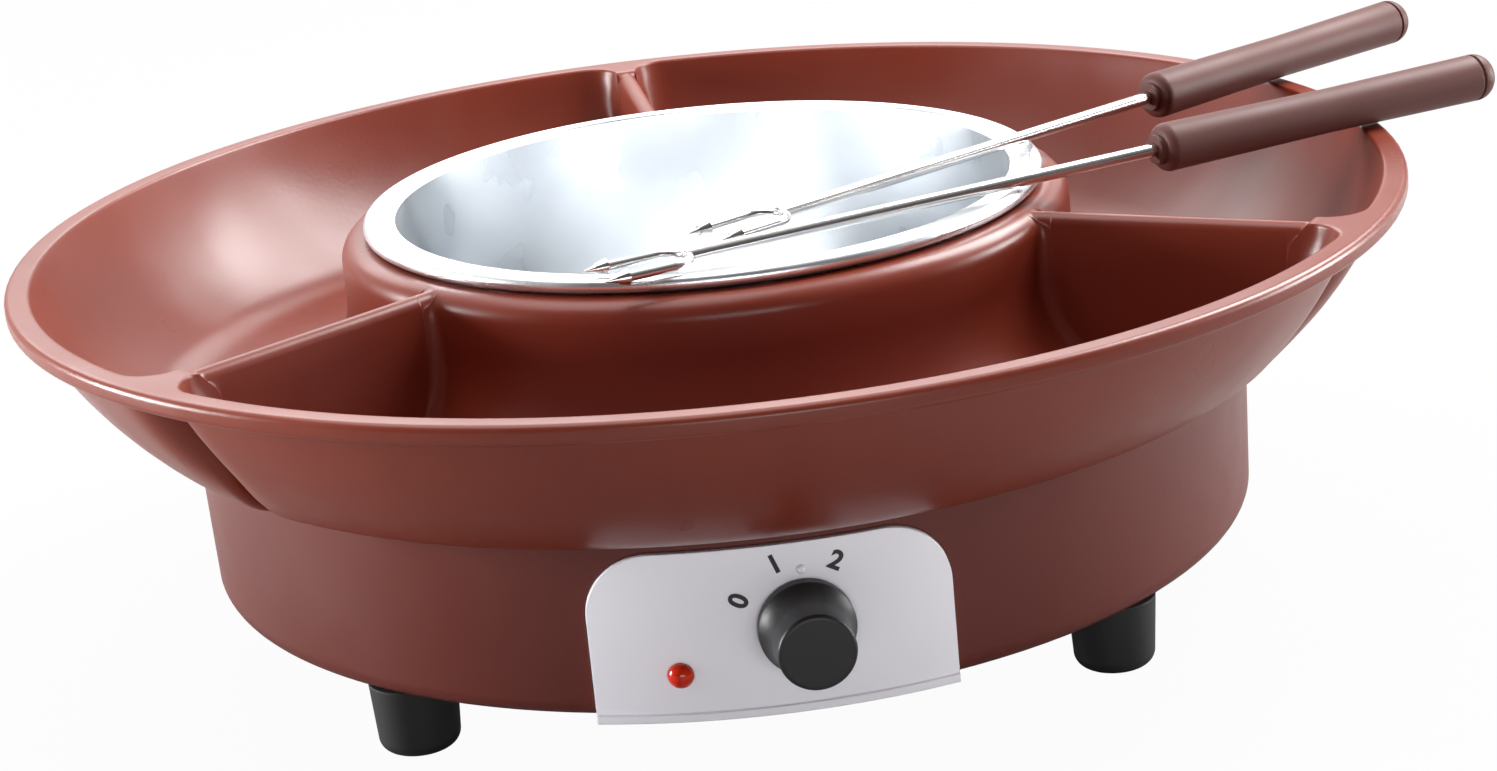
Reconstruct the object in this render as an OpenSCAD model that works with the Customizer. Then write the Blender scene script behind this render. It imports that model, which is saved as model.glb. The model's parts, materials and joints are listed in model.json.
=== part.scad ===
// Electric fondue pot: a three-compartment serving tray on a low heated base,
// with a metal pot in its centre and two forks resting across the rims.
// Millimetres. +Z is up, Z = 0 is the surface it stands on, and the controls face -Y.

/* [Serving tray] */
// Outer radius of the tray's rim
tray_r = 150; // [146:1:156]
// Height of the tray from its seat on the base to its rim
tray_h = 36; // [34:1:38]
// Wall thickness of the moulded tray
tray_wall = 2.2; // [2:0.1:2.4]
// Width of the flat band around the rim
rim_band = 5; // [4.5:0.25:5.5]
// Depth of the turned-down edge of the rim
rim_drop = 4; // [3.5:0.25:4.5]
// Radius of the bulge of the outer side wall
wall_bulge_r = 85; // [80:1:95]
// Radius of the curve from the floor up into the side wall
floor_fillet_r = 15; // [12:1:17]
// How far the tray's flat underside stands out past the base
tray_overhang = 5; // [4:0.5:6]
// Gap between the two folded walls of the centre collar
collar_fold = 2.8; // [2.4:0.1:3.2]
// Thickness of the collar's outer wall
collar_wall = 2.5; // [2.4:0.05:2.8]
// Radius of the rounded shoulder on top of the collar
shoulder_r = 4.5; // [3.5:0.5:5]
// Radius of the sweep from the collar down to the floor
collar_sweep_r = 22; // [18:1:24]
// Angle of each front divider from the middle of the front compartment
divider_angle = 54.4; // [50:0.2:60]
// Width of the rounded top of each divider
divider_top_w = 4.5; // [4:0.25:5]
// Draft angle of the dividers' sides
divider_draft = 4; // [3:0.5:5]
// Thickness of the dividers' hollow walls
divider_wall = 1.5; // [1.3:0.1:1.7]
// Radius of the corner between a divider and the rim
corner_r = 9; // [7:0.5:11]
// Turn of the tray on its base, counterclockwise from above
tray_turn = 4.4; // [0:0.2:8]

/* [Pot] */
// Outer radius of the pot's wall just under its rim
pot_r = 68; // [66:0.5:69]
// Depth of the pot outside, from rim to base
pot_h = 51; // [49:0.5:52]
// Thickness of the pot's sheet metal
pot_wall = 1.2; // [1:0.1:1.4]
// Width of the pot's rim, from its wall out to the rolled edge
pot_flange = 5.7; // [5.2:0.1:6]
// Radius of the rolled edge
pot_bead_r = 1.6; // [1.4:0.1:1.8]
// Radius of the corner between the pot's wall and base
pot_corner_r = 14; // [12:1:18]
// Draft angle of the pot's wall
pot_draft = 3; // [2:0.5:4]
// Height of the pot's rim above the tray's rim
pot_rise = 3.5; // [3.2:0.1:4]

/* [Base] */
// Outer radius of the base at its top
base_r = 115; // [112:1:117]
// Height of the base above its feet
base_h = 36; // [35:0.5:38]
// How much the base narrows from its top to its bottom
base_taper = 0.7; // [0.3:0.1:1]
// Wall thickness of the base housing
base_wall = 2.5; // [2.3:0.1:2.8]
// Radius of the base's rounded bottom edge
base_edge_r = 4; // [3:0.5:5]
// Height of the collar that the tray drops over
spigot_h = 6; // [5:0.5:8]

/* [Feet] */
// Height of each foot
foot_h = 15; // [13:0.5:17]
// Radius of each foot at its top
foot_r = 9; // [8.5:0.25:9.5]
// Distance of each foot's centre from the base's edge
foot_inset = 11; // [10.5:0.5:13]
// Angle of the feet from the front and back
foot_angle = 43; // [41:1:47]

/* [Control panel] */
// Half of the panel's width
panel_half_w = 35; // [33:0.5:37]
// Radius of the panel's two top corners
panel_corner_r = 13; // [10:1:15]
// How far the panel stands proud of the base
panel_proud = 0.8; // [0.6:0.1:1]
// Thickness of the panel
panel_t = 2; // [1.8:0.1:2.2]
// Angle of the knob from the middle of the panel
knob_angle = 3; // [2:0.2:4]
// Height of the knob above the base's bottom edge
knob_rise = 17.4; // [16.4:0.2:18.4]
// Angle of the indicator lens from the middle of the panel
lens_angle = 9.1; // [8.6:0.1:10]
// Height of the indicator lens above the base's bottom edge
lens_rise = 9.5; // [8.5:0.25:10]

/* [Knob] */
// Radius of the knob's skirt
skirt_r = 9.4; // [9:0.1:9.8]
// Radius of the knob's grip
grip_r = 7.5; // [7.2:0.1:7.8]
// Length of the knob
knob_len = 14.4; // [13:0.2:16]
// Radius of the switch shaft
shaft_r = 3; // [2.8:0.05:3.1]

/* [Heater] */
// Radius of the cast hot plate
plate_r = 56; // [54:0.5:58]
// Thickness of the hot plate
plate_t = 5; // [4.5:0.25:5.5]
// Radius of the ring that the heating element follows
element_ring_r = 38; // [37:0.5:40]
// Radius of the heating element's tube
element_r = 3.2; // [3:0.1:3.3]

/* [Forks] */
// Length of a fork from tine tips to handle end
fork_len = 220; // [214:1:226]
// Length of the handle
handle_len = 88; // [84:1:92]
// Radius of the handle at its ends
handle_r = 5.2; // [5:0.1:5.4]
// Radius of the handle at its waist
handle_waist_r = 4.8; // [4.6:0.1:4.9]
// Radius of the steel shaft
fork_shaft_r = 1.4; // [1.3:0.05:1.5]
// Half of the spread between the tines
tine_spread = 5; // [4.5:0.25:5.5]
// Length of the two tines from the bend to the tips
tine_len = 20; // [17:1:21]
// Direction of the rear fork, counterclockwise from +X
rear_fork_angle = 35.9; // [34:0.1:38]
// Direction of the front fork, counterclockwise from +X
front_fork_angle = 22.5; // [21:0.1:23.5]

/* [Hidden] */

// Roundness of large, medium and small circles
$fn = 64;
large_fn = 180;
small_fn = 32;
bead_fn = 24;

// Overrun of every cut, and the clearances between pieces
cut = 1;
seat_gap = 0.05;
run_gap = 0.06;
rest_gap = 0.3;
drop_gap = 0.5;

// Levels, from the feet up
base_z = foot_h;
seat_z = base_z + base_h;
rim_z = seat_z + tray_h;
pot_rim_z = rim_z + pot_rise;
pot_z = pot_rim_z - pot_h;
plate_z = pot_z - plate_t;

// Tray: the side wall is one arc from the underside's edge up to the rim's inner band
rim_inner_r = tray_r - rim_band;
wall_top_r = rim_inner_r + tray_wall;
wall_chord = norm([wall_top_r - base_r - tray_overhang, tray_h]);
wall_lean = atan2(tray_h, wall_top_r - base_r - tray_overhang);
wall_reach = sqrt(pow(wall_bulge_r, 2) - pow(wall_chord / 2, 2));
wall_cx = (wall_top_r + base_r + tray_overhang) / 2 - wall_reach * sin(wall_lean);
wall_cz = tray_h / 2 + wall_reach * cos(wall_lean);
floor_arc_z = tray_wall + floor_fillet_r;
floor_arc_reach = wall_bulge_r - tray_wall - floor_fillet_r;
floor_arc_x = wall_cx + sqrt(pow(floor_arc_reach, 2) - pow(floor_arc_z - wall_cz, 2));
floor_arc_drop = (wall_cz - floor_arc_z) / floor_arc_reach;
fillet_steps = 5;
side_steps = 12;

// Tray centre: a folded collar around the bore that the pot hangs through
pot_gap = 3.5;
bore_r = pot_r + pot_gap;
tube_r = bore_r + tray_wall;
collar_r = tube_r + collar_fold + collar_wall;
fold_top_z = tray_h - shoulder_r - tray_wall;
sweep_x = collar_r + collar_sweep_r;
sweep_z = tray_wall + collar_sweep_r;

// Dividers: a drafted ridge with a round top, hollow from below
divider_edge_r = divider_top_w / 2;
divider_angles = [divider_angle, 180, -divider_angle];
divider_drop = 0.4;
divider_top_steps = 8;
divider_start_r = collar_r - shoulder_r * 3 / 5;
divider_arc_z = tray_h - divider_drop - divider_edge_r;
valley_top_z = tray_h - rim_drop - tray_wall / 2;
corner_x = rim_inner_r - corner_r;
corner_swing = asin((divider_edge_r + corner_r) / corner_x);

// Base housing
deck_t = base_wall;
deck_z = seat_z - deck_t;
spigot_r = bore_r - drop_gap;
spigot_wall = 2;
well_r = spigot_r - spigot_wall;
skirt_drop = 6;
lip_w = 4;
cover_gap = 0.4;
base_foot_r = base_r - base_taper;
inner_r = base_foot_r - base_wall;
cover_r = inner_r - lip_w;
foot_circle_r = base_r - foot_inset;
cover_t = 2.5;
cover_top_z = base_z + cover_t;
boss_r = 5;
foot_hole_r = 1.9;
foot_pilot_r = 1.5;
foot_bore_depth = 20;
foot_angles = [foot_angle, 180 - foot_angle, 180 + foot_angle, -foot_angle];

// Vents in the bottom cover
vent_count = 24;
vent_w = 3;
vent_inner_r = 34;
vent_outer_r = 52;
cover_rib_w = 2;
cover_rib_h = 1.5;

// Feet
foot_taper = 0.7;
foot_edge_r = 3;
foot_recess_r = 4.2;
foot_recess_h = 7;
foot_screw_head_r = 3.6;
foot_screw_head_h = 2.4;
foot_screw_grip = 12;

// Control panel
panel_r = base_r + panel_proud;
panel_back_r = panel_r - panel_t;
panel_top_gap = 2;
panel_top_z = seat_z - panel_top_gap;
panel_lip = 0.6;
panel_lip_h = 1.6;
panel_overlap = 0.3;
peg_angle = 13.6;
peg_z = base_z + base_h * 2 / 3;
peg_r = 2.6;
peg_len = 6;
peg_pilot_r = 1;
pip_r = 0.9;
pip_rise = 11.2;
panel_screw_head_r = 3.1;
panel_screw_head_h = 1.5;
panel_screw_grip = 5;

// Switch: local Z runs outward through the panel from its face
knob_z = base_z + knob_rise;
lens_z = base_z + lens_rise;
pad_depth = 5.2;
pad_w = 25;
pad_h = 24;
collar_bush_r = 4.4;
bush_proud = 3.2;
nut_t = 1.8;
nut_r = 6.6;
switch_w = 21;
switch_h = 19;
switch_depth = 14;
shaft_out = 11;
shaft_in = 12;
shaft_flat = 1;
tab_w = 4;
tab_t = 0.8;
tab_len = 6;
tab_pitch = 6;

// Knob
knob_lift = 0.5;
skirt_h = 2;
flare_h = 6;
grip_edge_r = 0.8;
knob_cup_r = 7.3;
knob_cup_depth = 3.2;
clip_t = 0.5;
clip_gap = 0.15;
clip_len = 5;

// Indicator
lens_r = 2.45;
lens_out = 0.7;
lens_dome_r = 2.7;
lens_in = 8;
lamp_r = 1.5;
lamp_len = 8;
lamp_lead_r = 0.35;
lamp_lead_len = 6;
lens_skin = 1;
retainer_r = 5;
retainer_t = 0.6;
retainer_depth = 4.4;

// Heater
ridge_w = 5;
ridge_h = 4;
element_z = plate_z - ridge_h;
element_span = 300;
cold_end_r = 2.7;
shield_t = 0.8;
shield_gap = 3;
shield_floor_z = element_z - element_r - shield_gap;
shield_well_gap = 1;
shield_flange_w = 12;
shield_flange_drop = 7;
shield_r = well_r - shield_well_gap;
shield_flange_r = shield_r + shield_flange_w;
shield_flange_z = seat_z - shield_flange_drop;
shield_edge_r = 6;
shield_boss_r = 4;
shield_screw_circle_r = shield_flange_r - shield_boss_r;
shield_screw_r = 1.5;
shield_screw_head_r = 2.8;
shield_screw_head_h = 1.6;
shield_screw_grip = 6;
shield_angles = [0, 120, 240];
bush_circle_r = 22;
bush_r = 4.5;
bush_bore_r = 1.9;
plate_boss_r = 5;
plate_boss_h = 4;
plate_screw_r = 1.7;
plate_screw_head_r = 3.3;
plate_screw_head_h = 2;
bush_angles = [30, 150, 270];
thread_gap = 0.1;
end_hole_r = 4.2;
seal_r = 4;
seal_h = 2.2;
pin_r = 1;
pin_len = 2.4;
pin_gap = 0.7;
cold_end_len = element_z - seal_h - pin_len - pin_gap - cover_top_z;
shield_vent_r = 9;

// Thermostat and fuse under the hot plate
stat_r = 8;
stat_h = 6;
stat_flange_r = 9.5;
stat_flange_h = 1;
stat_tab_x = 4;
stat_tab_w = 1.6;
stat_tab_len = 3;
fuse_r = 1.9;
fuse_len = 11;
fuse_x = 14.5;
fuse_y = 5;
fuse_lead_r = 0.5;
fuse_lead_len = 4;
clip_strap_t = 0.8;
clip_strap_w = 4;

// Terminal block at the rear
block_w = 30;
block_d = 14;
block_h = 12;
block_inset = 20.8;
block_y = inner_r - block_inset;
block_rib_gap = 8;
cover_rib_r = block_y - block_d / 2 - block_rib_gap - cover_rib_w;
block_ways = 3;
block_step_h = 5;
way_r = 2.2;
way_screw_r = 1.8;
way_screw_h = 5;
way_slot_w = 0.8;

// Cord gland in the rear wall
gland_rise = 12;
gland_r = 6;
gland_flange_r = 8.5;
gland_flange_t = 2.5;
gland_bore_r = 3.3;
gland_inner_r = 7;
gland_inner_t = 2.5;

// Forks: local X runs from the tine tips to the handle's end
rear_fork_side = -40.6;
rear_fork_reach = 187.3;
front_fork_side = -56.9;
front_fork_reach = 168.5;
fork_z = max(pot_rim_z + fork_shaft_r, rim_z + handle_waist_r) + rest_gap;
tine_r = 1;
tine_tip_len = 3.5;
tine_tip_r = 0.2;
barb_r = 1.7;
barb_len = 2.4;
shaft_seat = 30;
handle_butt_r = 4;
handle_nose_r = 2;
nose_collar_r = 3.1;
nose_collar_h = 1.2;
groove_from_end = 5;
groove_w = 0.7;
groove_depth = 0.35;

// Placing helpers

// Turns children to an angle around the base, with local Z outward and local Y up
module on_front(angle, height, r = panel_r) {
    rotate([0, 0, angle])
        translate([0, -r, height])
            rotate([90, 0, 0])
                children();
}

// Repeats children around the Z axis at each angle, at a radius
module around(angles, r) {
    for (a = angles)
        rotate([0, 0, a])
            translate([0, -r, 0])
                children();
}

// A ring between two radii, standing on the local XY plane
module ring(outer_r, inner_r, h) {
    difference() {
        cylinder(h = h, r = outer_r);
        translate([0, 0, -cut])
            cylinder(h = h + 2 * cut, r = inner_r);
    }
}

// A screw with a round head below and its shank upward; the head's top is at the origin
module screw(shank_r, shank_len, head_r, head_h) {
    slot_w = head_r / 4;
    cylinder(h = shank_len, r = shank_r, $fn = small_fn);
    difference() {
        translate([0, 0, -head_h])
            cylinder(h = head_h, r = head_r, $fn = small_fn);
        for (a = [0, 90])
            rotate([0, 0, a])
                translate([-head_r * 2 / 3, -slot_w / 2, -head_h - cut])
                    cube([head_r * 4 / 3, slot_w, cut + head_h / 2]);
    }
}

// Section of a round-bottomed vessel: drafted side of radius r at height top_z, bottom at low_z
module vessel_2d(r, top_z, low_z, edge_r, draft) {
    arc_z = low_z + edge_r;
    arc_x = r - edge_r / cos(draft) - (top_z - arc_z) * tan(draft);
    touch_x = arc_x + edge_r * cos(draft);
    touch_z = arc_z - edge_r * sin(draft);
    polygon([[0, low_z], [arc_x, low_z], [arc_x, touch_z], [touch_x, touch_z], [r, top_z], [0, top_z]]);
    translate([arc_x, arc_z])
        circle(r = edge_r);
}

// Serving tray

// Section of the dish from low_r out to the side wall, set in from the outer surface by the inset
module dish_2d(inset, low_r, top_z) {
    low_angle = -asin(floor_arc_drop);
    fillet_step = (90 + low_angle) / fillet_steps;
    side_r = wall_bulge_r - inset;
    side_step = (asin((top_z - wall_cz) / side_r) - low_angle) / side_steps;
    fillet_points = [for (i = [0:fillet_steps])
        [floor_arc_x + (floor_arc_z - inset) * sin(i * fillet_step),
            floor_arc_z - (floor_arc_z - inset) * cos(i * fillet_step)]];
    side_points = [for (i = [1:side_steps])
        [wall_cx + side_r * cos(low_angle + i * side_step), wall_cz + side_r * sin(low_angle + i * side_step)]];
    polygon(concat([[low_r, top_z], [low_r, inset]], fillet_points, side_points));
}

// Section of the floor and the side wall
module side_2d() {
    difference() {
        dish_2d(0, sweep_x, tray_h);
        dish_2d(tray_wall, bore_r, tray_h + cut);
    }
}

// Section of the turned-down rim
module rim_2d() {
    edge_r = rim_drop / 3;
    translate([rim_inner_r, tray_h - rim_drop]) {
        square([rim_band - edge_r, rim_drop]);
        translate([0, edge_r])
            square([rim_band, rim_drop - 2 * edge_r]);
        for (z = [edge_r, rim_drop - edge_r])
            translate([rim_band - edge_r, z])
                circle(r = edge_r, $fn = bead_fn);
    }
}

// Section of the collar: a tube folded over a round shoulder into a wall that sweeps to the floor
module collar_2d() {
    translate([bore_r, 0])
        square([tray_wall, tray_h - shoulder_r]);
    translate([bore_r, fold_top_z])
        square([collar_r - bore_r, tray_h - shoulder_r - fold_top_z]);
    translate([bore_r, fold_top_z])
        square([collar_r - shoulder_r - bore_r, tray_h - fold_top_z]);
    translate([collar_r - collar_wall, sweep_z])
        square([collar_wall, fold_top_z - sweep_z]);
    translate([collar_r - shoulder_r, tray_h - shoulder_r])
        intersection() {
            circle(r = shoulder_r);
            square(shoulder_r);
        }
    intersection() {
        translate([sweep_x, sweep_z])
            difference() {
                circle(r = collar_sweep_r + collar_wall);
                circle(r = collar_sweep_r);
            }
        translate([bore_r, 0])
            square([sweep_x - bore_r, sweep_z]);
    }
}

// Section of the dish, grown into the walls around it, that the dividers are cut to
module divider_reach_2d() {
    grow = tray_wall / 2;
    dish_2d(grow, sweep_x, tray_h);
    translate([sweep_x, sweep_z])
        intersection() {
            circle(r = collar_sweep_r + grow);
            translate([-tray_r, -tray_r])
                square(tray_r);
        }
    translate([collar_r - grow, sweep_z])
        square([sweep_x - collar_r + grow, tray_h - sweep_z]);
    translate([collar_r - shoulder_r, tray_h - shoulder_r])
        square(shoulder_r);
}

// Section across a divider, drafted down from its round top, thinned by the inset
module divider_2d(inset, low_z, top_z) {
    side_low = divider_edge_r / cos(divider_draft) - inset + (divider_arc_z - low_z) * tan(divider_draft);
    side_top = divider_edge_r / cos(divider_draft) - inset + (divider_arc_z - top_z) * tan(divider_draft);
    polygon([[-side_low, low_z], [side_low, low_z], [side_top, top_z], [-side_top, top_z]]);
}

// A divider that fills the dish from the collar to the rim
module divider() {
    foot_half_w = divider_edge_r / cos(divider_draft) + divider_arc_z * tan(divider_draft);
    top_points = [for (i = [0:divider_top_steps])
        let (a = divider_draft + i * (180 - 2 * divider_draft) / divider_top_steps)
            [divider_edge_r * cos(a), divider_arc_z + divider_edge_r * sin(a)]];
    translate([0, -divider_start_r, 0])
        rotate([90, 0, 0])
            linear_extrude(height = tray_r - divider_start_r)
                polygon(concat([[-foot_half_w, 0], [foot_half_w, 0]], top_points));
}

// Plan of the web that rounds the corners between a divider's end and the rim
module corner_web_2d(grow) {
    difference() {
        polygon([[0, -corner_x * cos(corner_swing)],
            [-corner_x * sin(corner_swing), -corner_x * cos(corner_swing)],
            [-tray_r * sin(corner_swing), -tray_r * cos(corner_swing)],
            [tray_r * sin(corner_swing), -tray_r * cos(corner_swing)],
            [corner_x * sin(corner_swing), -corner_x * cos(corner_swing)]]);
        for (side = [-1, 1])
            rotate([0, 0, side * corner_swing])
                translate([0, -corner_x])
                    circle(r = corner_r + grow);
    }
}

// Hollow under a divider, open outward below the rim's edge
module divider_hollow() {
    translate([0, -tube_r - collar_fold / 2, 0])
        rotate([90, 0, 0])
            linear_extrude(height = tray_r)
                divider_2d(divider_wall, -cut, valley_top_z);
    translate([0, 0, -cut])
        linear_extrude(height = valley_top_z + cut)
            corner_web_2d(divider_wall);
}

module serving_tray() {
    color("sienna")
        translate([0, 0, seat_z])
            rotate([0, 0, tray_turn])
                difference() {
                    union() {
                        rotate_extrude($fn = large_fn) {
                            side_2d();
                            rim_2d();
                            collar_2d();
                        }
                        intersection() {
                            for (a = divider_angles)
                                rotate([0, 0, a]) {
                                    divider();
                                    linear_extrude(height = tray_h + cut)
                                        corner_web_2d(0);
                                }
                            rotate_extrude($fn = large_fn)
                                divider_reach_2d();
                        }
                    }
                    for (a = divider_angles)
                        rotate([0, 0, a])
                            divider_hollow();
                }
}

// Pot

// Section of the pot's wall and base, filled to the axis
module pot_2d(inset, top_z) {
    vessel_2d(pot_r - inset + (top_z - pot_rim_z) * tan(pot_draft), top_z, pot_z + inset,
        pot_corner_r - inset, pot_draft);
}

module melting_pot() {
    flange_z = pot_rim_z - pot_bead_r / 2;
    bead_x = pot_r + pot_flange - pot_bead_r;
    color("gainsboro")
        rotate_extrude($fn = large_fn) {
            difference() {
                union() {
                    pot_2d(0, flange_z);
                    translate([0, flange_z - pot_wall])
                        square([bead_x, pot_wall]);
                    translate([bead_x, pot_rim_z - pot_bead_r])
                        circle(r = pot_bead_r, $fn = small_fn);
                }
                pot_2d(pot_wall, pot_rim_z + cut);
            }
        }
}

// Base housing

// Section of the base's outer drum, set in by an inset
module drum_2d(inset) {
    arc_x = base_foot_r - base_edge_r;
    arc_z = base_z + base_edge_r;
    polygon([[0, arc_z], [base_foot_r - inset, arc_z], [base_r - inset, seat_z - inset], [0, seat_z - inset]]);
    translate([0, base_z + inset])
        square([arc_x, base_edge_r]);
    translate([arc_x, arc_z])
        circle(r = base_edge_r - inset, $fn = small_fn);
}

// Outline of the control panel, seen from the front, grown by a gap
module panel_outline(gap) {
    half_w = panel_half_w + gap;
    top = panel_top_z + gap;
    edge_r = panel_corner_r + gap;
    translate([-half_w, base_z - cut])
        square([2 * half_w, top - edge_r - base_z + cut]);
    translate([edge_r - half_w, base_z - cut])
        square([2 * half_w - 2 * edge_r, top - base_z + cut]);
    for (side = [-1, 1])
        translate([side * (half_w - edge_r), top - edge_r])
            circle(r = edge_r);
}

// The part of a front wall between two radii that lies behind the panel's outline
module panel_slab(gap, outer_r, inner_radius) {
    intersection() {
        ring(outer_r, inner_radius, seat_z);
        rotate([90, 0, 0])
            linear_extrude(height = base_r + skirt_r)
                panel_outline(gap);
    }
}

module base_shell() {
    difference() {
        rotate_extrude($fn = large_fn)
            difference() {
                union() {
                    difference() {
                        drum_2d(0);
                        drum_2d(base_wall);
                    }
                    translate([well_r, seat_z - skirt_drop])
                        square([spigot_wall, skirt_drop + spigot_h]);
                }
                square([well_r, seat_z + tray_h]);
                square([cover_r + cover_gap, cover_top_z]);
            }
        panel_slab(panel_overlap / 2, base_r + cut, panel_back_r - seat_gap);
    }
}

module housing_bosses() {
    around(foot_angles, foot_circle_r)
        translate([0, 0, cover_top_z])
            cylinder(h = deck_z - cover_top_z + seat_gap, r = boss_r);
    around(shield_angles, shield_screw_circle_r)
        translate([0, 0, shield_flange_z])
            cylinder(h = deck_z - shield_flange_z + seat_gap, r = shield_boss_r);
    on_front(knob_angle, knob_z)
        translate([-pad_w / 2, -pad_h / 2, -pad_depth])
            cube([pad_w, pad_h, pad_depth - panel_t - seat_gap]);
    on_front(-lens_angle, lens_z)
        translate([0, 0, -retainer_depth])
            cylinder(h = retainer_depth - panel_t - seat_gap, r = retainer_r);
}

module base_housing() {
    color("saddlebrown")
        difference() {
            union() {
                base_shell();
                intersection() {
                    housing_bosses();
                    translate([0, 0, base_z])
                        cylinder(h = base_h, r = panel_back_r - seat_gap, $fn = large_fn);
                }
            }
            around(foot_angles, foot_circle_r)
                translate([0, 0, cover_top_z - cut])
                    cylinder(h = foot_bore_depth + cut, r = foot_pilot_r, $fn = small_fn);
            around(shield_angles, shield_screw_circle_r)
                translate([0, 0, shield_flange_z - cut])
                    cylinder(h = shield_screw_grip + cut, r = shield_screw_r - thread_gap, $fn = small_fn);
            on_front(knob_angle, knob_z)
                translate([0, 0, -pad_depth - cut])
                    cylinder(h = pad_depth + cut, r = collar_bush_r + seat_gap, $fn = small_fn);
            on_front(-lens_angle, lens_z)
                translate([0, 0, -retainer_depth - cut])
                    cylinder(h = retainer_depth + cut, r = lens_r + seat_gap, $fn = small_fn);
            for (side = [-1, 1])
                on_front(side * peg_angle, peg_z)
                    translate([0, 0, -panel_t - peg_len])
                        cylinder(h = peg_len, r = peg_r + seat_gap, $fn = small_fn);
            rotate([0, 0, 180])
                on_front(0, base_z + gland_rise)
                    translate([0, 0, -gland_flange_t - base_wall - cut])
                        cylinder(h = panel_r, r = gland_r + seat_gap, $fn = small_fn);
        }
}

module bottom_cover() {
    color("dimgray")
        difference() {
            union() {
                translate([0, 0, base_z])
                    cylinder(h = cover_t, r = cover_r, $fn = large_fn);
                translate([0, 0, base_z])
                    ring(cover_rib_r + cover_rib_w, cover_rib_r, cover_t + cover_rib_h);
            }
            for (i = [0:vent_count - 1])
                rotate([0, 0, i * 360 / vent_count])
                    translate([0, 0, base_z - cut])
                        linear_extrude(height = cover_t + 2 * cut)
                            vent_2d();
            around(foot_angles, foot_circle_r)
                translate([0, 0, base_z - cut])
                    cylinder(h = cover_t + 2 * cut, r = foot_hole_r, $fn = small_fn);
        }
}

// Plan of one radial vent with round ends
module vent_2d() {
    translate([vent_inner_r, -vent_w / 2])
        square([vent_outer_r - vent_inner_r, vent_w]);
    for (x = [vent_inner_r, vent_outer_r])
        translate([x, 0])
            circle(r = vent_w / 2, $fn = small_fn);
}

// Feet

module foot(angle) {
    edge_x = foot_r - foot_taper - foot_edge_r;
    color("black")
        rotate([0, 0, angle])
            translate([0, -foot_circle_r, 0])
                rotate_extrude()
                    difference() {
                        union() {
                            polygon([[0, foot_edge_r], [edge_x + foot_edge_r, foot_edge_r],
                                [foot_r, foot_h], [0, foot_h]]);
                            square([edge_x, foot_edge_r]);
                            translate([edge_x, foot_edge_r])
                                circle(r = foot_edge_r, $fn = small_fn);
                        }
                        translate([-foot_r, -cut])
                            square([foot_r + foot_recess_r, foot_recess_h + cut]);
                        translate([-foot_r, 0])
                            square([foot_r + foot_hole_r, foot_h + cut]);
                    }
}

module foot_screws() {
    color("silver")
        around(foot_angles, foot_circle_r)
            translate([0, 0, foot_recess_h])
                screw(foot_pilot_r - thread_gap, foot_h - foot_recess_h + cover_t + foot_screw_grip,
                    foot_screw_head_r, foot_screw_head_h);
}

// Control panel

module control_panel() {
    color("whitesmoke")
        difference() {
            union() {
                intersection() {
                    union() {
                        panel_slab(0, panel_r, panel_back_r);
                        translate([0, 0, base_z])
                            ring(panel_r + panel_lip, panel_back_r, panel_lip_h);
                    }
                    rotate([90, 0, 0])
                        linear_extrude(height = base_r + skirt_r)
                            panel_outline(0);
                    translate([-tray_r, -tray_r, base_z])
                        cube([2 * tray_r, 2 * tray_r, base_h]);
                }
                for (side = [-1, 1])
                    on_front(side * peg_angle, peg_z)
                        translate([0, 0, -panel_t - peg_len + cut])
                            cylinder(h = peg_len, r = peg_r, $fn = small_fn);
                on_front(knob_angle, knob_z + pip_rise)
                    sphere(r = pip_r, $fn = small_fn);
            }
            on_front(knob_angle, knob_z)
                translate([0, 0, -pad_depth])
                    cylinder(h = pad_depth + cut, r = collar_bush_r + seat_gap, $fn = small_fn);
            on_front(-lens_angle, lens_z)
                translate([0, 0, -pad_depth])
                    cylinder(h = pad_depth + cut, r = lens_r + seat_gap, $fn = small_fn);
            for (side = [-1, 1])
                on_front(side * peg_angle, peg_z)
                    translate([0, 0, -panel_t - peg_len])
                        cylinder(h = panel_screw_grip + cut, r = peg_pilot_r, $fn = small_fn);
        }
}

module panel_screws() {
    color("silver")
        for (side = [-1, 1])
            on_front(side * peg_angle, peg_z)
                translate([0, 0, -panel_t - peg_len + cut - seat_gap])
                    screw(peg_pilot_r - seat_gap, panel_screw_grip, panel_screw_head_r, panel_screw_head_h);
}

module indicator_lens() {
    dome_z = lens_out - sqrt(pow(lens_dome_r, 2) - pow(lens_r, 2));
    color("orangered")
        on_front(-lens_angle, lens_z)
            difference() {
                union() {
                    translate([0, 0, -lens_in])
                        cylinder(h = lens_in + lens_out, r = lens_r, $fn = small_fn);
                    intersection() {
                        translate([0, 0, dome_z])
                            sphere(r = lens_dome_r, $fn = small_fn);
                        cylinder(h = lens_in, r = lens_r, $fn = small_fn);
                    }
                }
                translate([0, 0, -lens_in - cut])
                    cylinder(h = lens_in + cut - lens_skin, r = lamp_r + seat_gap, $fn = small_fn);
            }
}

module indicator_lamp() {
    lamp_top = -lens_skin - seat_gap - lamp_r;
    color("orange")
        on_front(-lens_angle, lens_z) {
            translate([0, 0, lamp_top - lamp_len])
                cylinder(h = lamp_len, r = lamp_r, $fn = small_fn);
            translate([0, 0, lamp_top])
                sphere(r = lamp_r, $fn = small_fn);
            for (side = [-1, 1])
                translate([side * lamp_r / 2, 0, lamp_top - lamp_len - lamp_lead_len])
                    cylinder(h = lamp_lead_len + cut, r = lamp_lead_r, $fn = small_fn);
        }
}

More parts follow.
